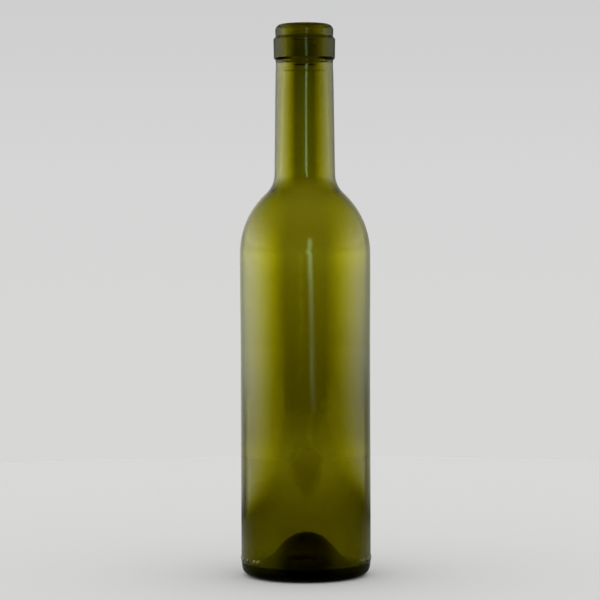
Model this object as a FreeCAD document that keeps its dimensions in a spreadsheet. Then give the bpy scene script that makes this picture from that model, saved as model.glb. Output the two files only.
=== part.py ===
import FreeCAD, Part
import collections
import math
import os

import Sketcher

# Half-size Bordeaux wine bottle: one piece of blown glass, open at the mouth.
#
# Two outlines are turned round the axis, as the glass itself is shaped from both sides:
#   Outside  the moulds' shape: cork finish, neck, round shoulder, contact band, label panel,
#            heel, the ring that the bottle stands on, and the push-up that domes the base
#   Cavity   the blown inside: a straight bore that grips the cork, a neck that opens below it,
#            a wall that thickens towards the heel, and a floor that follows the push-up
#
# The origin is the centre of the resting plane, and +Z runs up the axis to the mouth.

# Driving dimensions in millimetres and degrees. A recess is taken off a radius, and a stand is
# added to one.
DIMENSIONS = [
    ("total_height", 253.0, "resting plane to the top of the lip"),
    # the cork finish, from the lip down
    ("lip_diameter", 26.7, "lip above the ring"),
    ("lip_round", 2.85, "outer round of the lip"),
    ("lip_height", 5.6, "top of the lip to the waist below it"),
    ("waist_recess", 0.15, "waist, set in from the lip"),
    ("ring_diameter", 28.38, "ring that the finish is named for, at its upper edge"),
    ("ring_top_round", 0.9, "round over that edge"),
    ("ring_top_height", 1.5, "waist to that edge"),
    ("ring_height", 7.7, "side of the ring"),
    ("ring_taper", 0.16, "how far that side draws in downwards"),
    ("ring_foot_height", 1.8, "slope from the ring down to the bead"),
    ("bead_stand", 0.18, "bead that the neck mould leaves, proud of the throat"),
    ("bead_height", 1.1, "side of the bead"),
    ("bead_foot_height", 0.3, "slope under the bead"),
    # neck and shoulder
    ("neck_diameter", 26.74, "neck below the throat"),
    ("throat_height", 7.4, "hollow that runs from the bead out to the neck"),
    ("throat_recess", 0.33, "top of that hollow, set in from the neck"),
    ("neck_taper", 0.58, "how far the neck widens down to its root"),
    ("root_round", 12.0, "hollow round between neck and shoulder"),
    ("shoulder_round", 37.7, "round of the shoulder"),
    ("shoulder_height", 148.0, "resting plane to the foot of the shoulder"),
    # body and heel
    ("body_diameter", 60.0, "contact band under the shoulder, the widest part"),
    ("band_height", 11.5, "side of the contact band"),
    ("band_foot_height", 30.0, "long slope from the band in to the label panel"),
    ("panel_recess", 0.2, "label panel, set in from the band"),
    ("panel_bottom_height", 6.6, "resting plane to the panel's lower edge"),
    ("heel_recess", 0.6, "heel below the parting step, set in from the band"),
    ("heel_step_height", 5.6, "resting plane to the step's lower edge"),
    ("heel_round", 5.0, "round of the heel"),
    # base
    ("bearing_width", 1.5, "flat ring that the bottle stands on"),
    ("bearing_round", 3.0, "round from that ring into the push-up"),
    ("push_up_angle", 43.0, "slope of the push-up from below"),
    ("push_up_height", 15.2, "top of the push-up from below"),
    # inside
    ("bore_diameter", 18.5, "straight bore that grips the cork"),
    ("mouth_round", 1.0, "round from the lip into the bore"),
    ("bore_height", 20.0, "top of the lip to the end of the straight bore"),
    ("bore_opening", 1.05, "how far the bore opens below that"),
    ("opening_height", 24.0, "length over which it opens"),
    ("neck_wall", 3.2, "glass at the neck's root"),
    ("inner_root_round", 14.0, "round of the neck's root inside"),
    ("inner_shoulder_round", 35.8, "round of the shoulder inside"),
    ("wall_at_shoulder", 2.3, "glass at the foot of the shoulder"),
    ("wall_at_heel", 3.75, "glass just above the heel"),
    ("floor_round", 3.0, "round between wall and floor"),
    ("floor_height", 5.5, "resting plane to the trough round the push-up"),
    ("floor_angle", 43.5, "slope of the push-up inside"),
    ("push_up_glass", 4.6, "glass at the top of the push-up"),
    ("cut_past_lip", 1.0, "how far the cavity's outline runs on above the lip"),
]
SIZE = {alias: value for alias, value, _ in DIMENSIONS}
GLASS_DENSITY = 2.5e-3          # soda-lime container glass, grams per cubic millimetre

Edge = collections.namedtuple("Edge", "number first last centre")


# ---- Sizes, each as a number and as the formula that ties it to the sheet ----

def total(*parts, less=()):
    """Lengths from the sheet added up, less others."""
    value = sum(SIZE[part] for part in parts) - sum(SIZE[part] for part in less)
    formula = " + ".join(f"Dimensions.{part}" for part in parts)
    return value, formula + "".join(f" - Dimensions.{part}" for part in less)


def half(diameter, *stands, less=()):
    """Half of a diameter, with stands added and recesses taken off."""
    value, formula = total(diameter, *stands, less=less)
    return value - SIZE[diameter] / 2, f"{formula} - Dimensions.{diameter} / 2"


# ---- Outlines ----

class Outline:
    """A closed outline beside the axis, in a sketch on its body's XZ plane.

    The sketch's X is the radius and its Y the height. Each edge starts where the last one
    ended, and both outlines run from the lip down to the base. The points given here only
    start the sketch's solver: its constraints, which follow the sheet, decide the shape.
    """

    ORIGIN = (-1, 1)
    GROUND = -1                 # the sketch's own horizontal and vertical axes
    AXIS = -2

    def __init__(self, body, name, start):
        self.sketch = body.newObject("Sketcher::SketchObject", name)
        plane = [item for item in body.Origin.OriginFeatures if item.Role == "XZ_Plane"][0]
        self.sketch.AttachmentSupport = [(plane, "")]
        self.sketch.MapMode = "FlatFace"
        self.at = FreeCAD.Vector(*start, 0)
        self.edges = []

    # Edges. Each is joined to the last one, smoothly or with a corner.

    def line(self, radius, height, smooth=False):
        end = FreeCAD.Vector(radius, height, 0)
        return self.draw(Part.LineSegment(self.at, end), 1, 2, end, smooth)

    def arc(self, radius, height, sweep, smooth=True):
        """An arc round a centre through some degrees, anticlockwise where they are positive."""
        centre = FreeCAD.Vector(radius, height, 0)
        spoke = self.at - centre
        start = math.atan2(spoke.y, spoke.x)
        stop = start + math.radians(sweep)
        end = centre + FreeCAD.Vector(math.cos(stop), math.sin(stop), 0) * spoke.Length
        circle = Part.Circle(centre, FreeCAD.Vector(0, 0, 1), spoke.Length)
        curve = Part.ArcOfCircle(circle, min(start, stop), max(start, stop))
        first, last = (1, 2) if sweep > 0 else (2, 1)
        return self.draw(curve, first, last, end, smooth)

    def draw(self, curve, first, last, end, smooth):
        number = self.sketch.addGeometry(curve)
        edge = Edge(number, (number, first), (number, last), (number, 3))
        if self.edges:
            self.add("Tangent" if smooth else "Coincident", *self.edges[-1].last, *edge.first)
        self.edges.append(edge)
        self.at = end
        return edge

    def side(self, height, radius=None, smooth=False):
        """A side that drops by a height from the sheet, to a radius or straight down."""
        reach = radius[0] if radius else self.at.x
        edge = self.line(reach, self.at.y - SIZE[height], smooth)
        self.drop(height, edge.first, edge.last)
        if radius:
            self.out(height.replace("height", "out"), edge.last, radius)
        else:
            self.add("Vertical", edge.number)
        return edge

    def close(self):
        """Go up the axis to where the outline began."""
        first = self.edges[0].first
        start = self.sketch.getPoint(*first)
        axis = self.line(start.x, start.y)
        self.add("Coincident", *axis.last, *first)
        self.add("PointOnObject", *axis.first, self.AXIS)
        self.add("PointOnObject", *axis.last, self.AXIS)

    # Constraints. The named ones are dimensions that follow the sheet.

    def add(self, kind, *details):
        return self.sketch.addConstraint(Sketcher.Constraint(kind, *details))

    def bind(self, kind, name, measure, *details):
        value, formula = measure
        index = self.add(kind, *details, value)
        self.sketch.renameConstraint(index, name)
        self.sketch.setExpression(f"Constraints.{name}", formula)

    def out(self, name, place, measure):
        self.bind("DistanceX", name, measure, *self.ORIGIN, *place)

    def up(self, name, place, measure):
        self.bind("DistanceY", name, measure, *self.ORIGIN, *place)

    def drop(self, height, high, low):
        self.bind("DistanceY", height, total(height), *low, *high)

    def round(self, alias, edge):
        self.bind("Radius", alias, total(alias), edge.number)

    # The two forms that the outside and the cavity share

    def root_and_shoulder(self, neck, root_round, shoulder_round, body, smooth=False):
        """The neck's side down to its root, and the S of two rounds out to the body.

        `neck` is the radius at the root, and `body` the radius at the shoulder's foot.
        """
        foot = SIZE["shoulder_height"]
        across = neck[0] + SIZE[root_round] - (body[0] - SIZE[shoulder_round])
        rise = math.sqrt((SIZE[root_round] + SIZE[shoulder_round]) ** 2 - across ** 2)
        turn = math.degrees(math.atan2(rise, across))
        self.line(neck[0], foot + rise, smooth)
        root = self.arc(neck[0] + SIZE[root_round], foot + rise, turn)
        shoulder = self.arc(body[0] - SIZE[shoulder_round], foot, -turn)
        self.out("root_out", root.first, neck)
        self.round(root_round, root)
        self.round(shoulder_round, shoulder)
        self.out("foot_out", shoulder.last, body)
        self.up("foot_up", shoulder.last, total("shoulder_height"))

    def flank_and_dome(self, angle, top):
        """A straight flank that climbs from here, and a round dome over the axis."""
        lean = math.radians(SIZE[angle])
        peak = self.at.y + self.at.x * math.tan(lean)
        radius = (peak - top[0]) / (1 / math.cos(lean) - 1)
        centre = top[0] - radius
        flank = self.line(radius * math.sin(lean), centre + radius * math.cos(lean), smooth=True)
        dome = self.arc(0.0, centre, SIZE[angle])
        climb = (math.radians(180 - SIZE[angle]), f"180 - Dimensions.{angle}")
        self.bind("Angle", "flank_slope", climb, flank.number)
        self.add("PointOnObject", *dome.centre, self.AXIS)
        self.up("dome_up", dome.last, top)


def add_finish(skin):
    """The cork finish: a rounded lip, a waist, the ring, and the bead under it."""
    lip = half("lip_diameter")[0]
    land = half("lip_diameter", less=["lip_round"])
    waist = half("lip_diameter", less=["waist_recess"])
    ring = half("ring_diameter")
    throat = ("neck_diameter", ["throat_recess"])
    edge_round = SIZE["ring_top_round"]
    edge_turn = math.radians(60)            # a first guess at the turn over the ring's edge

    top = skin.line(land[0], SIZE["total_height"])
    lip_arc = skin.arc(land[0], SIZE["total_height"] - SIZE["lip_round"], -90)
    lip_side = skin.line(waist[0], SIZE["total_height"] - SIZE["lip_height"], smooth=True)
    edge_in, edge_up = ring[0] - edge_round, skin.at.y - SIZE["ring_top_height"]
    skin.line(edge_in + edge_round * math.cos(edge_turn), edge_up + edge_round * math.sin(edge_turn))
    ring_arc = skin.arc(edge_in, edge_up, -math.degrees(edge_turn))
    skin.side("ring_height", half("ring_diameter", less=["ring_taper"]), smooth=True)
    skin.side("ring_foot_height", half(throat[0], "bead_stand", less=throat[1]))
    skin.side("bead_height")
    skin.side("bead_foot_height", half(throat[0], less=throat[1]))

    skin.add("Horizontal", top.number)
    skin.up("land_up", top.last, total("total_height"))
    skin.out("land_out", top.last, land)
    skin.round("lip_round", lip_arc)
    skin.drop("lip_height", top.last, lip_side.last)
    skin.out("waist_out", lip_side.last, waist)
    skin.round("ring_top_round", ring_arc)
    skin.drop("ring_top_height", lip_side.last, ring_arc.last)
    skin.out("ring_top_out", ring_arc.last, ring)


def add_neck_and_shoulder(skin):
    """The hollow under the finish, the tapered neck, its root and the round shoulder."""
    neck = half("neck_diameter")
    fall, swell = SIZE["throat_height"], SIZE["throat_recess"]
    throat_round = (fall ** 2 + swell ** 2) / (2 * swell)
    throat_turn = math.degrees(math.asin(fall / throat_round))
    throat = skin.arc(neck[0] - throat_round, skin.at.y - fall, -throat_turn, smooth=False)
    skin.drop("throat_height", throat.first, throat.last)
    skin.out("neck_out", throat.last, neck)
    skin.root_and_shoulder(half("neck_diameter", "neck_taper"), "root_round", "shoulder_round",
                           half("body_diameter"), smooth=True)


def add_body_and_heel(skin):
    """The contact band, the label panel set in below it, and the heel under its step."""
    panel = half("body_diameter", less=["panel_recess"])
    heel = half("body_diameter", less=["heel_recess"])
    heel_round = SIZE["heel_round"]

    skin.side("band_height", smooth=True)
    skin.side("band_foot_height", panel)
    panel_side = skin.line(panel[0], SIZE["panel_bottom_height"])
    step = skin.line(heel[0], SIZE["heel_step_height"])
    heel_side = skin.line(heel[0], heel_round)
    heel_arc = skin.arc(heel[0] - heel_round, heel_round, -90)

    skin.add("Vertical", panel_side.number)
    skin.up("panel_bottom_up", panel_side.last, total("panel_bottom_height"))
    skin.out("heel_out", step.last, heel)
    skin.up("heel_step_up", step.last, total("heel_step_height"))
    skin.add("Vertical", heel_side.number)
    skin.round("heel_round", heel_arc)


def add_base(skin):
    """The flat ring that the bottle stands on, and the push-up inside it."""
    ring = skin.line(skin.at.x - SIZE["bearing_width"], 0.0, smooth=True)
    ring_arc = skin.arc(skin.at.x, SIZE["bearing_round"], -SIZE["push_up_angle"])
    skin.flank_and_dome("push_up_angle", total("push_up_height"))

    skin.add("Horizontal", ring.number)
    skin.add("PointOnObject", *ring.last, skin.GROUND)
    skin.bind("DistanceX", "bearing_width", total("bearing_width"), *ring.last, *ring.first)
    skin.round("bearing_round", ring_arc)


def add_outside(body):
    """The whole outer skin, from the lip down to the push-up."""
    skin = Outline(body, "OutsideOutline", (0.0, SIZE["total_height"]))
    add_finish(skin)
    add_neck_and_shoulder(skin)
    add_body_and_heel(skin)
    add_base(skin)
    skin.close()
    return turn(body, skin, "PartDesign::Revolution", "Outside")


def add_cavity(body):
    """The blown inside, cut from above the lip down to the floor."""
    lip_top = total("total_height")
    above = total("total_height", "cut_past_lip")
    bore = half("bore_diameter")[0]
    mouth = half("bore_diameter", "mouth_round")[0]
    wall = half("body_diameter", less=["wall_at_heel"])
    floor_centre = total("floor_height", "floor_round")

    inside = Outline(body, "CavityOutline", (0.0, above[0]))
    top = inside.line(mouth, above[0])
    lead = inside.line(mouth, lip_top[0])
    mouth_arc = inside.arc(mouth, lip_top[0] - SIZE["mouth_round"], 90, smooth=False)
    bore_side = inside.line(bore, lip_top[0] - SIZE["bore_height"], smooth=True)
    inside.side("opening_height", half("bore_diameter", "bore_opening"))
    inside.root_and_shoulder(half("neck_diameter", "neck_taper", less=["neck_wall"]),
                             "inner_root_round", "inner_shoulder_round",
                             half("body_diameter", less=["wall_at_shoulder"]))
    wall_side = inside.line(wall[0], floor_centre[0], smooth=True)
    floor_arc = inside.arc(wall[0] - SIZE["floor_round"], floor_centre[0],
                           -90 - SIZE["floor_angle"])
    inside.flank_and_dome("floor_angle", total("push_up_height", "push_up_glass"))
    inside.close()

    inside.add("Horizontal", top.number)
    inside.add("Vertical", lead.number)
    inside.add("Vertical", bore_side.number)
    inside.up("above_up", top.last, above)
    inside.up("mouth_up", lead.last, lip_top)
    inside.add("Vertical", *mouth_arc.first, *mouth_arc.centre)
    inside.round("mouth_round", mouth_arc)
    inside.out("bore_out", bore_side.last, half("bore_diameter"))
    inside.drop("bore_height", lead.last, bore_side.last)
    inside.out("wall_out", wall_side.last, wall)
    inside.round("floor_round", floor_arc)
    inside.up("floor_centre_up", floor_arc.centre, floor_centre)
    return turn(body, inside, "PartDesign::Groove", "Cavity")


def turn(body, outline, kind, name):
    """A full turn of an outline round the axis, added to the body or cut from it."""
    feature = body.newObject(kind, name)
    feature.Profile = outline.sketch
    feature.ReferenceAxis = (outline.sketch, ["V_Axis"])
    feature.Angle = 360.0
    body.Tip = feature
    return feature


# ---- The document ----

def add_sheet(document):
    """The driving dimensions: one row each, with its alias, its number and what it means."""
    sheet = document.addObject("Spreadsheet::Sheet", "Dimensions")
    for row, (alias, value, meaning) in enumerate(DIMENSIONS, start=1):
        sheet.set(f"A{row}", alias)
        sheet.set(f"B{row}", str(value))
        sheet.set(f"C{row}", meaning)
        sheet.setAlias(f"B{row}", alias)
    document.recompute()
    return sheet


def build_bottle():
    document = FreeCAD.newDocument("WineBottle")
    add_sheet(document)
    bottle = document.addObject("PartDesign::Body", "Bottle")
    bottle.Label = "bottle"
    outside = add_outside(bottle)
    document.recompute()
    filled = outside.Shape.Volume
    add_cavity(bottle)
    document.recompute()
    return document, bottle, filled


def check(document, bottle, filled):
    """Stop before anything is written if a feature failed or cut nothing."""
    for item in document.Objects:
        if {"Invalid", "Error"} & set(item.State):
            raise RuntimeError(f"{item.Label} failed: {item.State}")
        if item.TypeId == "Sketcher::SketchObject" and not item.FullyConstrained:
            raise RuntimeError(f"{item.Label} is not fully constrained")
    shape = bottle.Shape
    if shape.isNull() or not shape.isValid() or len(shape.Solids) != 1:
        raise RuntimeError("the bottle is not one valid solid")
    if shape.Volume > 0.6 * filled:
        raise RuntimeError("the cavity was not cut")
    inside = (filled - shape.Volume) / 1000
    print(f"glass {shape.Volume / 1000:.1f} ml, {shape.Volume * GLASS_DENSITY:.0f} g")
    print(f"holds {inside:.1f} ml to the brim")


def main():
    document, bottle, filled = build_bottle()
    check(document, bottle, filled)
    os.makedirs("parts", exist_ok=True)
    bottle.Shape.exportStep(f"parts/{bottle.Label}.step")


main()
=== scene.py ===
# %% [markdown]
# # An empty half-size wine bottle of green glass
#
# The object is a Bordeaux-type half bottle: one piece of blown soda-lime glass with a cork
# finish, a long neck, round shoulders, a straight body and a push-up under the base. It is
# empty, uncorked and bare. Clear coloured glass shows both of its skins at once, so nearly all
# of the work is in two outlines, the glass between them, and what the glass reflects.
#
# The first cell loads the construction model. Its one node, the bottle, gives the true size,
# and the dressed bottle made here takes its place.

# %% Load the frame
import math

import bmesh
import bpy
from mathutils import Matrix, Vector, noise


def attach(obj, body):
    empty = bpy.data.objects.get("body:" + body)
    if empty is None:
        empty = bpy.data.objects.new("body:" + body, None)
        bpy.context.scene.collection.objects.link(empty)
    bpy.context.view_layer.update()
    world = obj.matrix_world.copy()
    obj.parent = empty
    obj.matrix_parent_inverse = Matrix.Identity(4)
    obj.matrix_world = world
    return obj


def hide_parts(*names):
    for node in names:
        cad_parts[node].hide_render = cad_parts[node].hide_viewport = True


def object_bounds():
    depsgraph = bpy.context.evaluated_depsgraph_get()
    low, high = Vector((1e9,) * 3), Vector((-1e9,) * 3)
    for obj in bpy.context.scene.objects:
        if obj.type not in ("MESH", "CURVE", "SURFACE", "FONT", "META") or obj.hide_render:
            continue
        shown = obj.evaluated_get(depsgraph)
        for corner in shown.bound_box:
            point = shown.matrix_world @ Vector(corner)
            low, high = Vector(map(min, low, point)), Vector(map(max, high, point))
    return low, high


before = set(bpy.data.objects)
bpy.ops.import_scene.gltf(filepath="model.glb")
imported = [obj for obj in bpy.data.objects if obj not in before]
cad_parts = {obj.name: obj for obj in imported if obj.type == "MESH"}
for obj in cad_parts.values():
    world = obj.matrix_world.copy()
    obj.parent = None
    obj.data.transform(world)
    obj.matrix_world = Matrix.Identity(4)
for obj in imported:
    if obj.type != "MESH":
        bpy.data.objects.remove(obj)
cad_low, cad_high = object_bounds()
MM = 0.001
print("bottle stands", round(cad_high.z / MM, 1), "mm tall")

# %% [markdown]
# ## Sizes
#
# The height and the width are read from the frame. The rest are a glassworks' own numbers: the
# cork finish is a standard one, the bore is 18.5 mm, and the wall grows from 2.3 mm under the
# shoulder to 3.8 mm at the heel, because hot glass sags while it is blown.

# %% Sizes of the outside, in metres
HEIGHT = cad_high.z
BODY = cad_high.x                      # radius of the contact band, the widest part

# the cork finish, from the lip down
LIP, LIP_ROUND, LIP_HEIGHT, WAIST_RECESS = 13.35 * MM, 2.85 * MM, 5.6 * MM, 0.15 * MM
RING, RING_ROUND, RING_LEAD = 14.19 * MM, 0.9 * MM, 1.5 * MM
RING_HEIGHT, RING_TAPER, RING_FOOT = 8.5 * MM, 0.16 * MM, 1.0 * MM
BEAD_STAND, BEAD_HEIGHT, BEAD_FOOT = 0.12 * MM, 1.1 * MM, 0.5 * MM
# neck and shoulder
NECK, NECK_TAPER, THROAT_HEIGHT, THROAT_RECESS = 13.37 * MM, 0.58 * MM, 7.4 * MM, 0.33 * MM
ROOT_ROUND, SHOULDER_ROUND, SHOULDER_FOOT = 12.0 * MM, 37.7 * MM, 148.0 * MM
# body, heel and base
BAND_HEIGHT, BAND_FOOT, PANEL_RECESS, PANEL_BOTTOM = 11.5 * MM, 30.0 * MM, 0.2 * MM, 6.6 * MM
HEEL_RECESS, HEEL_STEP, HEEL_ROUND = 0.4 * MM, 5.0 * MM, 5.0 * MM
BEARING_WIDTH, BEARING_ROUND = 1.5 * MM, 3.0 * MM
MARKS_TOP = 9.6 * MM                   # the raised marks stand between here and the panel's bottom
PUSH_UP_SLOPE, PUSH_UP_TOP = math.radians(43.0), 15.2 * MM

# %% Sizes of the inside
BORE, MOUTH_ROUND, BORE_LENGTH = 9.25 * MM, 1.0 * MM, 20.0 * MM
BORE_OPENING, OPENING_LENGTH = 1.05 * MM, 24.0 * MM
NECK_WALL, INNER_ROOT_ROUND, INNER_SHOULDER_ROUND = 3.2 * MM, 14.0 * MM, 35.8 * MM
WALL_AT_SHOULDER, WALL_AT_HEEL = 2.3 * MM, 3.75 * MM
FLOOR_ROUND, FLOOR_HEIGHT, FLARE = 2.2 * MM, 5.2 * MM, 22.0 * MM
FLARE_SLOPE, FLOOR_SLOPE = math.radians(20), math.radians(46)
PUSH_UP_GLASS = 4.6 * MM

ARC_STEP = math.radians(5)             # turn of an arc between two of its points
RING_STEP = 4 * MM                     # longest straight run between two points
CORNER = 0.22 * MM                     # how far from its corner a straight run begins to turn
SEGMENTS = 192                         # around the axis

# %% [markdown]
# ## The outline
#
# An outline could be typed in as a long list of points. It is drawn here instead, as on a
# turner's template: a pen that starts at one vertex and goes on in straight runs, each an
# extruded vertex, and in round stretches, each that vertex spun about a centre. A round that
# meets a run smoothly then needs only its centre and its turn.

# %% A pen that draws outlines beside the axis
class Pen:
    """Draws a wire in the XZ plane: X is the distance from the axis and Z the height."""

    def __init__(self, radius, height):
        self.wire = bmesh.new()
        self.tip = self.wire.verts.new((radius, 0, height))

    def run(self, radius, height):
        """A straight run, with a point close to each end, so that shading turns only there."""
        start, stop = self.tip.co.copy(), Vector((radius, 0, height))
        length = (stop - start).length
        pieces = max(1, math.ceil(length / RING_STEP))
        corner = min(CORNER, length / 3) / length
        for place in [corner] + [number / pieces for number in range(1, pieces)] + [1 - corner, 1]:
            self.tip = bmesh.ops.extrude_vert_indiv(self.wire, verts=[self.tip])["verts"][0]
            self.tip.co = start.lerp(stop, place)

    def round(self, centre, turn):
        """Clockwise where the turn is positive, seen with the axis on the left."""
        steps = max(2, math.ceil(abs(turn) / ARC_STEP))
        spun = bmesh.ops.spin(self.wire, geom=[self.tip], cent=(centre[0], 0, centre[1]),
                              axis=(0, 1, 0), angle=turn, steps=steps)
        self.tip = [item for item in spun["geom_last"] if isinstance(item, bmesh.types.BMVert)][0]


def shoulder_curve(pen, neck, root_round, shoulder_round, body):
    """The neck's side down to its root, and the S of two rounds out to the body."""
    across = neck + root_round - (body - shoulder_round)
    rise = math.sqrt((root_round + shoulder_round) ** 2 - across ** 2)
    turn = math.atan2(rise, across)
    pen.run(neck, SHOULDER_FOOT + rise)
    pen.round((neck + root_round, SHOULDER_FOOT + rise), -turn)
    pen.round((body - shoulder_round, SHOULDER_FOOT), turn)


def dome(pen, slope, top):
    """A straight flank that climbs from here, and a round dome over the axis."""
    peak = pen.tip.co.z + pen.tip.co.x * math.tan(slope)
    radius = (peak - top) / (1 / math.cos(slope) - 1)
    pen.run(radius * math.sin(slope), top - radius + radius * math.cos(slope))
    pen.round((0, top - radius), -slope)


# %% Draw the outer skin, from the lip down to the push-up
outside = Pen(BORE + MOUTH_ROUND, HEIGHT)
outside.run(LIP - LIP_ROUND, HEIGHT)
outside.round((LIP - LIP_ROUND, HEIGHT - LIP_ROUND), math.pi / 2)
outside.run(LIP - WAIST_RECESS, HEIGHT - LIP_HEIGHT)
ring_edge = HEIGHT - LIP_HEIGHT - RING_LEAD
edge_turn = math.radians(60)
outside.run(RING - RING_ROUND + RING_ROUND * math.cos(edge_turn), ring_edge + RING_ROUND * math.sin(edge_turn))
outside.round((RING - RING_ROUND, ring_edge), edge_turn)
outside.run(RING - RING_TAPER, ring_edge - RING_HEIGHT)
throat_top = NECK - THROAT_RECESS
bead_top = ring_edge - RING_HEIGHT - RING_FOOT
outside.run(throat_top + BEAD_STAND, bead_top)
outside.run(throat_top + BEAD_STAND, bead_top - BEAD_HEIGHT)
outside.run(throat_top, bead_top - BEAD_HEIGHT - BEAD_FOOT)
throat_round = (THROAT_HEIGHT ** 2 + THROAT_RECESS ** 2) / (2 * THROAT_RECESS)
throat_foot = outside.tip.co.z - THROAT_HEIGHT
outside.round((NECK - throat_round, throat_foot), math.asin(THROAT_HEIGHT / throat_round))
shoulder_curve(outside, NECK + NECK_TAPER, ROOT_ROUND, SHOULDER_ROUND, BODY)
outside.run(BODY, SHOULDER_FOOT - BAND_HEIGHT)
outside.run(BODY - PANEL_RECESS, SHOULDER_FOOT - BAND_HEIGHT - BAND_FOOT)
outside.run(BODY - PANEL_RECESS, MARKS_TOP)
outside.run(BODY - PANEL_RECESS, PANEL_BOTTOM)
heel = BODY - HEEL_RECESS
outside.run(heel, HEEL_STEP)
outside.round((heel - HEEL_ROUND, HEEL_ROUND), math.pi / 2)
outside.run(heel - HEEL_ROUND - BEARING_WIDTH, 0)
outside.round((outside.tip.co.x, BEARING_ROUND), PUSH_UP_SLOPE)
dome(outside, PUSH_UP_SLOPE, PUSH_UP_TOP)
print("outer skin:", len(outside.wire.verts), "points")

# %% Draw the inner skin, from the mouth down to the floor
inside = Pen(BORE + MOUTH_ROUND, HEIGHT)
inside.round((BORE + MOUTH_ROUND, HEIGHT - MOUTH_ROUND), -math.pi / 2)
inside.run(BORE, HEIGHT - BORE_LENGTH)
inside.run(BORE + BORE_OPENING, HEIGHT - BORE_LENGTH - OPENING_LENGTH)
shoulder_curve(inside, NECK + NECK_TAPER - NECK_WALL, INNER_ROOT_ROUND, INNER_SHOULDER_ROUND,
               BODY - WALL_AT_SHOULDER)
inner_wall = BODY - WALL_AT_HEEL
inside.run(inner_wall, FLOOR_HEIGHT + FLOOR_ROUND)
inside.round((inner_wall - FLOOR_ROUND, FLOOR_HEIGHT + FLOOR_ROUND), math.pi / 2 + FLARE_SLOPE)
trough = inside.tip.co
inside.round((trough.x + FLARE * math.sin(FLARE_SLOPE), trough.z + FLARE * math.cos(FLARE_SLOPE)),
             FLOOR_SLOPE - FLARE_SLOPE)
dome(inside, FLOOR_SLOPE, PUSH_UP_TOP + PUSH_UP_GLASS)
print("inner skin:", len(inside.wire.verts), "points")

# %% [markdown]
# ## Turning the skins
#
# Each outline is spun once round the axis, which gives a whole skin of clean quads. The end of
# each outline lies on the axis, so its copies are merged into one pole.
#
# The moulds give the outer skin its true form. The inner skin was only ever touched by air, so
# its wall is thicker here and thinner there. Where the blown gather first settled in its mould
# a wide belt of thicker glass stays round the body, with a thinner belt under it. This settle
# wave is what darkens the middle of the bottle and clears it again lower down. Finer waves run
# down the wall, and the cavity never sits quite in the middle.

# %% Spin an outline into a skin
def turned(pen):
    wire = pen.wire
    bmesh.ops.spin(wire, geom=wire.verts[:] + wire.edges[:], cent=(0, 0, 0), axis=(0, 0, 1),
                   angle=math.tau, steps=SEGMENTS, use_merge=True)
    bmesh.ops.remove_doubles(wire, verts=wire.verts, dist=0.001 * MM)
    return wire


# %% Where the wall is thicker or thinner than its outline
def swelling(place, centre, below, above):
    """1 at the centre of a soft swelling, falling to 0 at these distances below and above."""
    off = (place - centre) / (below if place < centre else above)
    return math.cos(min(1.0, abs(off)) * math.pi / 2) ** 2


SETTLE_WAVE = 0.80 * MM                # extra glass in the belt of the settle wave
WAVE_RISE, WAVE_SIDE = 14 * MM, 10 * MM         # its lower edge rises at both sides of its middle
THIN_BELT = 0.56 * MM                  # what is missing in the belt below it
TONGUE = 0.85 * MM                     # a run of glass that comes down from the wave
TONGUE_TIP, TONGUE_SPREAD, TONGUE_WIDTH = 34 * MM, 0.6, 8 * MM
THIN_SHOULDER, THIN_BAND, THIN_STREAK = 0.42 * MM, 0.16 * MM, 0.35 * MM
THICK_NECK, THICK_FOOT = 0.15 * MM, 0.20 * MM
CHOKE = 0.70 * MM                      # the bore is tightest a little below the lip


def extra_glass(point):
    """How much thicker the wall is at a point of the inner skin."""
    height = point.z
    rise = WAVE_RISE * swelling(abs(point.x), WAVE_SIDE, 5 * MM, 5 * MM)
    wave = min(swelling(height - rise, 82 * MM, 24 * MM, 72 * MM), swelling(height, 82 * MM, 24 * MM, 72 * MM))
    spread = min(TONGUE_WIDTH, max(MM, (height - TONGUE_TIP) * TONGUE_SPREAD))
    tongue = min(1.0, 1.5 * swelling(point.x, 0, spread, spread)) * swelling(height, 44 * MM, 9 * MM, 22 * MM)
    return (SETTLE_WAVE * wave + TONGUE * tongue
            - THIN_BELT * swelling(height, 53 * MM, 23 * MM, 17 * MM)
            - THIN_BAND * swelling(height, 146 * MM, 14 * MM, 12 * MM)
            - THIN_SHOULDER * swelling(height, 173 * MM, 20 * MM, 20 * MM)
            + THICK_NECK * swelling(height, 205 * MM, 24 * MM, 45 * MM)
            - THIN_STREAK * swelling(height, 92 * MM, 24 * MM, 34 * MM) * swelling(point.x, -WAVE_SIDE, 5 * MM, 4 * MM)
            + THICK_FOOT * swelling(height, 22 * MM, 14 * MM, 14 * MM)
            + CHOKE * swelling(height, HEIGHT - 11 * MM, 14 * MM, 11 * MM))


WAVE_AROUND, WAVE_DOWN = 22 * MM, 90 * MM       # size of the finer waves
WAVE_DEPTH = 0.16 * MM
STREAK_AROUND, STREAK_DOWN, STREAK_DEPTH = 5 * MM, 130 * MM, 0.03 * MM
SHIFT = Vector((0.12, 0.08, 0)) * MM            # how far the cavity sits off the axis
STILL = 6 * MM                                  # the bore is pressed, so it has no waves


def uneven(point):
    """Where a point of the inner skin lies once the glass has flowed."""
    depth = min(1.0, max(0.0, (HEIGHT - BORE_LENGTH - point.z) / STILL))
    reach = Vector((point.x, point.y, 0))
    if reach.length < MM:
        return point
    wave = noise.noise(Vector((point.x / WAVE_AROUND, point.y / WAVE_AROUND, point.z / WAVE_DOWN)))
    streak = noise.noise(Vector((point.x / STREAK_AROUND, point.y / STREAK_AROUND, point.z / STREAK_DOWN)))
    outwards = (WAVE_DEPTH * wave + STREAK_DEPTH * streak) * depth - extra_glass(point)
    return point + reach.normalized() * outwards + SHIFT * depth


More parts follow.
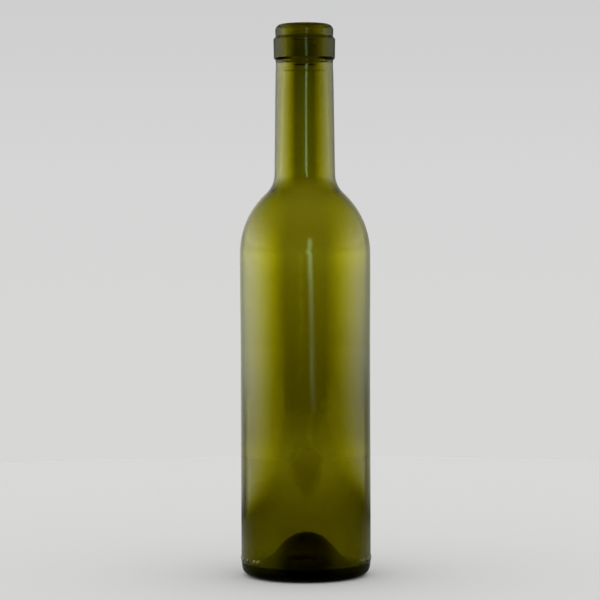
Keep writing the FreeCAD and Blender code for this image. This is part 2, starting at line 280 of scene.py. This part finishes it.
outer_skin, inner_skin = turned(outside), turned(inside)
for vertex in inner_skin.verts:
    vertex.co = uneven(vertex.co)
print("skins:", len(outer_skin.faces), "and", len(inner_skin.faces), "faces")

# %% [markdown]
# The moulds leave their own marks outside. Their halves meet in a fine seam down each side. Low
# on the heel stand raised marks, a row of dots that tells the mould's number and a row of ticks,
# and the bearing ring is knurled, so that the hot bottle doesn't crack on the conveyor.

# %% Seams, heel marks and knurls
SEAM_AT, SEAM_STAND = math.radians(11.25), 0.03 * MM
MARK_STAND = 0.35 * MM
DOT, TICK = (0.75 * MM, 0.75 * MM), (0.45 * MM, 1.25 * MM)     # half width and half height
MARK_HEIGHT = (MARKS_TOP + PANEL_BOTTOM) / 2
# turns from the front, and the form that stands there
MARKS = [(-90, DOT), (-75, DOT), (-63, DOT), (-52, DOT), (-47, DOT),
         (57, TICK), (62, DOT), (67, TICK), (71, TICK), (76, DOT), (81, TICK), (86, DOT), (90, TICK)]
KNURLS, KNURL_DEPTH = 48, 0.2 * MM


def turn_of(point):
    """Angle round the axis, from the front towards the right."""
    return math.atan2(point.x, -point.y)


def raised(point):
    """How far a point of the marks' band stands out."""
    out = 0.0
    for turn, (half_width, half_height) in MARKS:
        across = (turn_of(point) - math.radians(turn)) * BODY / half_width
        up = (point.z - MARK_HEIGHT) / half_height
        out = max(out, MARK_STAND * math.cos(min(1.0, math.hypot(across, up)) * math.pi / 2))
    return out


band = [face for face in outer_skin.faces
        if all(PANEL_BOTTOM - 0.01 * MM < v.co.z < MARKS_TOP + 0.01 * MM for v in face.verts)]
bmesh.ops.subdivide_edges(outer_skin, edges=list({edge for face in band for edge in face.edges}),
                          cuts=6, use_grid_fill=True)
for vertex in outer_skin.verts:
    point = vertex.co
    reach = Vector((point.x, point.y, 0))
    if PANEL_BOTTOM - 0.01 * MM < point.z < MARKS_TOP + 0.01 * MM:
        vertex.co += reach.normalized() * raised(point)
    elif point.z < 0.01 * MM:
        vertex.co.z += KNURL_DEPTH * (0.5 - 0.5 * math.cos(KNURLS * turn_of(point)))
    elif abs(math.remainder(turn_of(point) - SEAM_AT, math.pi)) < 0.001 and reach.length > 12 * MM:
        vertex.co += reach.normalized() * SEAM_STAND
print("outer skin with its marks:", len(outer_skin.faces), "faces")

# %% Join the skins into one closed wall
glass_mesh = bpy.data.meshes.new("bottle_glass")
for skin in (outer_skin, inner_skin):
    skin.to_mesh(glass_mesh)
    if skin is outer_skin:
        inner_skin.from_mesh(glass_mesh)
    skin.free()
wall = bmesh.new()
wall.from_mesh(glass_mesh)
bmesh.ops.remove_doubles(wall, verts=wall.verts, dist=0.001 * MM)
bmesh.ops.recalc_face_normals(wall, faces=wall.faces)
for face in wall.faces:
    face.smooth = True
wall.to_mesh(glass_mesh)
open_edges = sum(not edge.is_manifold for edge in wall.edges)
print("glass:", round(wall.calc_volume() / MM ** 3 / 1000, 1), "ml,", open_edges, "open edges")
wall.free()
bottle = bpy.data.objects.new("bottle_glass", glass_mesh)
bpy.context.scene.collection.objects.link(bottle)
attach(bottle, "root")
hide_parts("bottle")

# %% [markdown]
# ## The glass
#
# Antique green is soda-lime glass coloured by iron and chromium. It lets yellow and green
# through, takes most of the red and nearly all of the blue, and so looks olive in thin walls
# and black in the heel. Tinting the surface would give every wall the same colour. The colour
# here comes from the depth of glass instead: the surface is clear, and the volume inside it
# absorbs light by the millimetre.

# %% Helpers for colours and nodes
def linear(hex_colour):
    """An sRGB hex colour as linear red, green, blue and full alpha."""
    channels = [int(hex_colour[place:place + 2], 16) / 255 for place in (1, 3, 5)]
    return (*[c / 12.92 if c <= 0.04045 else ((c + 0.055) / 1.055) ** 2.4 for c in channels], 1.0)


def add_node(tree, kind, settings={}, inputs={}):
    """Adds a node, sets its own settings, and sets or links its input sockets."""
    node = tree.nodes.new(kind)
    for name, value in settings.items():
        setattr(node, name, value)
    for name, value in inputs.items():
        if isinstance(value, bpy.types.NodeSocket):
            tree.links.new(value, node.inputs[name])
        else:
            node.inputs[name].default_value = value
    return node


def new_tree(material):
    material.use_nodes = True
    material.node_tree.nodes.clear()
    return material.node_tree


# %% Antique green container glass
ABSORPTION = 1200.0                    # of blue, per metre; red and green are parts of it
ABSORPTION_COLOUR = (0.725, 0.708, 0.0, 1.0)

antique_green = bpy.data.materials.new("antique_green_glass")
tree = new_tree(antique_green)
surface = add_node(tree, "ShaderNodeBsdfPrincipled", inputs={
    "Base Color": (1.0, 1.0, 1.0, 1.0), "Roughness": 0.0, "IOR": 1.52, "Transmission Weight": 1.0})
depth = add_node(tree, "ShaderNodeVolumeAbsorption", inputs={
    "Color": ABSORPTION_COLOUR, "Density": ABSORPTION})
add_node(tree, "ShaderNodeOutputMaterial", inputs={
    "Surface": surface.outputs[0], "Volume": depth.outputs[0]})
bottle.data.materials.append(antique_green)

# %% [markdown]
# ## The studio
#
# Glass is lit by what it reflects and by what stands behind it. A pale sheet and a pale
# backdrop stand behind the bottle. Two tall softboxes stand at its sides, a narrow strip of
# light stands beside the camera, and the room behind the camera is dark.
#
# Lamps made of mesh could stand all round the bottle, but each would have to be tuned against
# the others. The world is painted instead, by compass direction and height, and only for light
# that has been reflected at least once. Light that goes straight through the glass still sees
# the pale backdrop, from whichever side the bottle is viewed.

# %% The sheet that the bottle stands on
SHEET = 0.56                           # half of its width
sheet_mesh = bpy.data.meshes.new("sheet")
sheet_form = bmesh.new()
bmesh.ops.create_circle(sheet_form, cap_ends=True, segments=96, radius=SHEET)
sheet_form.to_mesh(sheet_mesh)
sheet_form.free()
sheet = bpy.data.objects.new("sheet", sheet_mesh)
bpy.context.scene.collection.objects.link(sheet)
sheet.visible_glossy = False           # the painted world stands in for it in reflections
paper = bpy.data.materials.new("white_sheet")
tree = new_tree(paper)
paper_surface = add_node(tree, "ShaderNodeBsdfPrincipled", inputs={
    "Base Color": linear("#f0f0f0"), "Roughness": 0.9, "Specular IOR Level": 0.2})
add_node(tree, "ShaderNodeOutputMaterial", inputs={"Surface": paper_surface.outputs[0]})
sheet_mesh.materials.append(paper)


# %% A grey scrim round the mouth that only reflections see: painted shade that keeps the softboxes' reflections off the finish
SCRIM_WIDTH, SCRIM_LOW, SCRIM_HIGH = 0.05, 0.2366, 0.28
scrim_mesh = bpy.data.meshes.new("scrim")
scrim_form = bmesh.new()
bmesh.ops.create_cone(scrim_form, cap_ends=False, segments=96, radius1=SCRIM_WIDTH, radius2=SCRIM_WIDTH,
                      depth=SCRIM_HIGH - SCRIM_LOW)
scrim_form.to_mesh(scrim_mesh)
scrim_form.free()
scrim = bpy.data.objects.new("scrim", scrim_mesh)
scrim.location.z = (SCRIM_LOW + SCRIM_HIGH) / 2
bpy.context.scene.collection.objects.link(scrim)
for sight in ("camera", "diffuse", "transmission", "shadow"):
    setattr(scrim, "visible_" + sight, False)      # only reflections pass through it
# A grey filter over what reflections see through it: painted shade on the lip and the ring that no camera ray meets
reflection_shade_gauze = bpy.data.materials.new("grey_reflection_shade")
tree = new_tree(reflection_shade_gauze)
shade_filter = add_node(tree, "ShaderNodeBsdfTransparent", inputs={"Color": (0.36, 0.36, 0.38, 1.0)})
add_node(tree, "ShaderNodeOutputMaterial", inputs={"Surface": shade_filter.outputs[0]})
scrim_mesh.materials.append(reflection_shade_gauze)

# %% A ramp of colours or greys along a value
def add_ramp(tree, value, stops):
    """Colours by the value that each stands at; between two of them the colour runs evenly."""
    low, high = stops[0][0], stops[-1][0]
    place = add_node(tree, "ShaderNodeMapRange", inputs={"Value": value, "From Min": low, "From Max": high})
    node = add_node(tree, "ShaderNodeValToRGB", inputs={"Fac": place.outputs["Result"]})
    marks = node.color_ramp.elements
    while len(marks) < len(stops):
        marks.new(1.0)
    for mark, (at, colour) in zip(marks, stops):
        mark.position = (at - low) / (high - low)
        mark.color = colour if isinstance(colour, tuple) else (colour, colour, colour, 1.0)
    return node.outputs["Color"]


def add_math(tree, operation, *values):
    return add_node(tree, "ShaderNodeMath", {"operation": operation}, dict(enumerate(values))).outputs[0]


def add_mix(tree, factor, first, second, blend="MIX"):
    """Two colours mixed by a factor."""
    node = add_node(tree, "ShaderNodeMix", {"data_type": "RGBA", "blend_type": blend})
    for socket, value in ((node.inputs[0], factor), (node.inputs[6], first), (node.inputs[7], second)):
        if isinstance(value, bpy.types.NodeSocket):
            tree.links.new(value, socket)
        else:
            socket.default_value = value
    return node.outputs[2]


# %% Compass direction and height of a ray, in degrees
world = bpy.data.worlds.new("painted_studio")
bpy.context.scene.world = world
world.use_nodes = True
tree = world.node_tree
tree.nodes.clear()
path = add_node(tree, "ShaderNodeLightPath")
direction = add_node(tree, "ShaderNodeTexCoord")
axes = add_node(tree, "ShaderNodeSeparateXYZ", inputs={"Vector": direction.outputs["Generated"]})
ahead = add_math(tree, "MULTIPLY", axes.outputs["Y"], -1.0)
compass = add_math(tree, "DEGREES", add_math(tree, "ARCTAN2", axes.outputs["X"], ahead))
aside = add_math(tree, "ABSOLUTE", compass)
height = add_math(tree, "DEGREES", add_math(tree, "ARCSINE", axes.outputs["Z"]))

# %% The backdrop behind and the sheet below, as reflections see them
behind = add_math(tree, "MULTIPLY", add_ramp(tree, aside, [(118, 0.0), (155, 0.62), (180, 0.66)]),
                  add_ramp(tree, height, [(-7.4, 0.0), (-6.4, 0.7), (-2, 0.95), (1, 0.95), (3, 0.85), (5.5, 0.8),
                                           (9, 0.95), (12, 1.0), (40, 0.2), (60, 0.0)]))
below = add_ramp(tree, aside, [(36, 0.0), (60, (0.28, 0.28, 0, 1)), (100, (0.35, 0.35, 0.02, 1)),
                               (126, (0.38, 0.38, 0.15, 1)), (150, (0.32, 0.32, 0.26, 1))])
below = add_node(tree, "ShaderNodeVectorMath", {"operation": "SCALE"}, {
    0: below, "Scale": add_ramp(tree, height, [(-40, 0.05), (-12, 0.25), (-9, 0.8), (-7.9, 1.0), (-7.3, 0.6), (-6.9, 0.0)])})
room = add_node(tree, "ShaderNodeVectorMath", {"operation": "SCALE"}, {0: (1.0, 1.0, 0.78), "Scale": behind})
room = add_node(tree, "ShaderNodeVectorMath", {"operation": "MAXIMUM"}, {0: room.outputs[0], 1: below.outputs[0]})

# %% The softboxes at the sides
SOFTBOX_LIGHT = 4.2
# where a softbox begins, brightens and ends: degrees away from the camera's side
SOFTBOX_COLOURS = [
    (36, (0, 0, 0, 1)), (47, (0.22, 0.21, 0.0, 1)), (60, (0.58, 0.56, 0.01, 1)),
    (74, (0.86, 0.86, 0.12, 1)), (89, (1.0, 1.0, 0.33, 1)), (103, (0.91, 0.91, 0.45, 1)),
    (114, (0.74, 0.75, 0.42, 1)), (126, (0.52, 0.53, 0.31, 1)), (137, (0.26, 0.27, 0.17, 1)),
    (147, (0.07, 0.07, 0.05, 1)), (160, (0, 0, 0, 1))]
# the lower edge leans outwards: how far it has turned away at each height, in hundreds of degrees
SOFTBOX_LEAN = [(-7.3, 1.0), (-6.9, 0.60), (-6.5, 0.30), (-6.0, 0.14), (-5.4, 0.04), (-4.8, 0.0)]
# its far end is cut off near the floor
SOFTBOX_END = [(-6.4, 1.0), (-5.0, 0.7), (-3.4, 0.1), (-2.0, 0.0)]
# how bright it is at each height, and how its top yellows
SOFTBOX_FADE = [
    (-7.3, 0.0), (-6.9, 0.12), (-6.5, 0.30), (-6.0, 0.42), (-5.4, 0.42), (-4.8, 0.48), (-4.1, 0.61),
    (-2.8, 0.85), (-1.7, 0.93), (-0.6, 1.0), (0.5, 0.98), (2.1, 0.94), (3.8, 0.88), (5.0, 0.84),
    (9, 1.0), (13, 0.83), (19, (0.70, 0.70, 0.56, 1)), (24, (0.54, 0.54, 0.38, 1)),
    (30, (0.42, 0.42, 0.22, 1)), (35, (0.31, 0.31, 0.10, 1)), (45, (0.18, 0.18, 0.01, 1)),
    (60, (0.04, 0.04, 0, 1)), (70, (0, 0, 0, 1))]
side_drop = add_node(tree, "ShaderNodeMapRange", inputs={
    "Value": compass, "From Min": -50.0, "From Max": 50.0, "To Min": 0.12, "To Max": -0.30})
side_height = add_math(tree, "ADD", height, side_drop.outputs["Result"])
lean = add_math(tree, "MULTIPLY", add_ramp(tree, side_height, SOFTBOX_LEAN), 100.0)
softbox = add_ramp(tree, add_math(tree, "SUBTRACT", aside, lean), SOFTBOX_COLOURS)
softbox = add_node(tree, "ShaderNodeVectorMath", {"operation": "MULTIPLY"}, {
    0: softbox, 1: add_ramp(tree, side_height, SOFTBOX_FADE)})
cut_off = add_math(tree, "MULTIPLY", add_ramp(tree, side_height, SOFTBOX_END),
                   add_ramp(tree, aside, [(122, 0.0), (136, 1.0)]))
softbox = add_node(tree, "ShaderNodeVectorMath", {"operation": "SCALE"}, {
    0: softbox.outputs[0], "Scale": add_math(tree, "MULTIPLY_ADD", cut_off, -SOFTBOX_LIGHT, SOFTBOX_LIGHT)})
lit = add_node(tree, "ShaderNodeVectorMath", {"operation": "ADD"}, {0: room.outputs[0], 1: softbox.outputs[0]})
side_balance = add_node(tree, "ShaderNodeMapRange", inputs={
    "Value": compass, "From Min": -50.0, "From Max": 50.0, "To Min": 1.21, "To Max": 0.83})
lit = add_node(tree, "ShaderNodeVectorMath", {"operation": "SCALE"}, {
    0: lit.outputs[0], "Scale": side_balance.outputs["Result"]})

# %% The strip of light beside the camera
STRIP_LIGHT, STRIP_COLOUR = 3.4, (0.60, 1.0, 0.50)
STRIP_PLACE = [(-4.4, 0.135), (-3.7, 0.115), (-0.2, 0.083), (2.1, 0.088), (3.4, 0.055), (5.5, 0.06), (9, 0.083), (20, 0.083)]
STRIP_FADE = [(-4.6, 0.0), (-4.0, 0.15), (-2.8, 0.30), (-1.7, 0.55), (-0.8, 0.72), (-0.3, 0.95),
              (2.1, 1.0), (4.0, 1.0), (5.0, 0.75), (18, 0.85), (23, 0.0)]
strip_place = add_math(tree, "MULTIPLY", add_ramp(tree, height, STRIP_PLACE), 100.0)
off_strip = add_math(tree, "ABSOLUTE", add_math(tree, "SUBTRACT", compass, strip_place))
strip_light = add_math(tree, "MULTIPLY", add_ramp(tree, off_strip, [(1.6, 1.0), (6.2, 0.0)]),
                       add_ramp(tree, height, STRIP_FADE))
strip = add_node(tree, "ShaderNodeVectorMath", {"operation": "SCALE"}, {
    0: STRIP_COLOUR, "Scale": add_math(tree, "MULTIPLY", strip_light, STRIP_LIGHT)})

# %% A faint green light painted into the world in front of the camera and seen only in reflections: a painted green reflection that the neck shows towards the camera
painted_green_strength = add_math(tree, "MULTIPLY", add_ramp(tree, aside, [(20, 0.18), (36, 0.0)]),
                      add_ramp(tree, height, [(1.6, 0.0), (2.6, 1.0), (7.0, 1.0), (12, 0.0)]))
painted_green_reflection = add_node(tree, "ShaderNodeVectorMath", {"operation": "SCALE"}, {
    0: (0.05, 1.0, 0.1), "Scale": painted_green_strength})

# %% The pale backdrop, and which light sees what
BACKDROP = [(-2.0, linear("#d7d7d6")), (2.2, linear("#d5d5d5")), (6.4, linear("#cececf"))]
backdrop = add_ramp(tree, height, BACKDROP)
reflections = add_node(tree, "ShaderNodeVectorMath", {"operation": "ADD"}, {
    0: lit.outputs[0], 1: strip.outputs[0]})
reflections = add_node(tree, "ShaderNodeVectorMath", {"operation": "ADD"}, {
    0: reflections.outputs[0], 1: painted_green_reflection.outputs[0]})
bounced = add_math(tree, "GREATER_THAN", path.outputs["Glossy Depth"], 0.5)
seen = add_mix(tree, bounced, backdrop, reflections.outputs[0])
lighting = (0.84, 0.84, 0.84, 1)
colour = add_mix(tree, path.outputs["Is Diffuse Ray"], seen, lighting)
glow = add_node(tree, "ShaderNodeBackground", inputs={"Color": colour})
add_node(tree, "ShaderNodeOutputWorld", inputs={"Surface": glow.outputs[0]})

# %% [markdown]
# ## The camera
#
# The bottle is seen from a metre away through a long lens, from just over half of its height.

# %% Camera
camera_data = bpy.data.cameras.new("camera")
camera_data.sensor_width = 36.0
camera_data.lens = 131.4
camera = bpy.data.objects.new("camera", camera_data)
camera.location = (-0.0023, -1.007, 0.153)
camera.rotation_euler = (math.radians(88.5), math.radians(0.2), 0)
bpy.context.scene.collection.objects.link(camera)
bpy.context.scene.camera = camera

# %% Render settings that the glass needs
scene = bpy.context.scene
scene.view_settings.view_transform = "Standard"
scene.cycles.max_bounces = 24
scene.cycles.transmission_bounces = 24
scene.cycles.glossy_bounces = 12
scene.cycles.use_denoising = True
